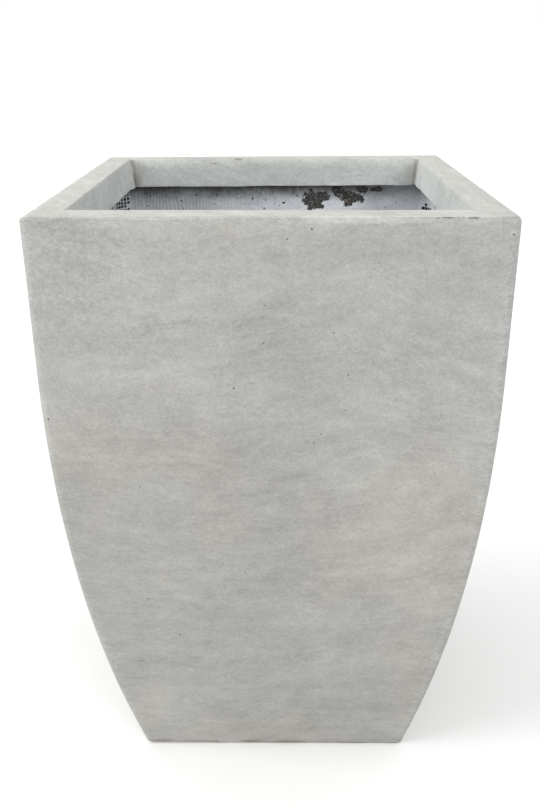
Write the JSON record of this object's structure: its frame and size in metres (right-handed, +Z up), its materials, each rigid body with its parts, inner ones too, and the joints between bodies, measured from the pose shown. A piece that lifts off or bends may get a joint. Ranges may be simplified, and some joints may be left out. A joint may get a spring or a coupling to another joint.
{
  "type": "floor planter",
  "caption": "Tall square floor planter of glass-fibre reinforced cement with walls that sweep in to a narrower base, a thick turned-in rim and a removable drain plug.",
  "frame": {"origin": "centre of the base, on the ground", "axes": "+Z up along the planter's height; -Y faces the viewer, +X to the viewer's right"},
  "size_m": [0.406, 0.406, 0.6],
  "materials": {
    "facing": "matte",
    "laminate": "matte",
    "glass_mesh": "matte",
    "core": "matte",
    "rubber": "matte"
  },
  "bodies": {
    "planter": {"outer_shell": "facing", "floor_laminate": "laminate", "front_wall_laminate": "laminate", "right_wall_laminate": "laminate", "back_wall_laminate": "laminate", "left_wall_laminate": "laminate", "front_left_corner_mesh": "glass_mesh", "front_right_corner_mesh": "glass_mesh", "back_left_corner_mesh": "glass_mesh", "back_right_corner_mesh": "glass_mesh", "rim_core_front": "core", "rim_core_right": "core", "rim_core_back": "core", "rim_core_left": "core"},
    "drain_plug": {"drain_plug": "rubber"}
  },
  "joints": [
    {"name": "drain_plug_lift", "type": "slide", "parent": "planter", "child": "drain_plug", "axis": [0, 0, 1], "range_m": [0, 0.62]}
  ]
}
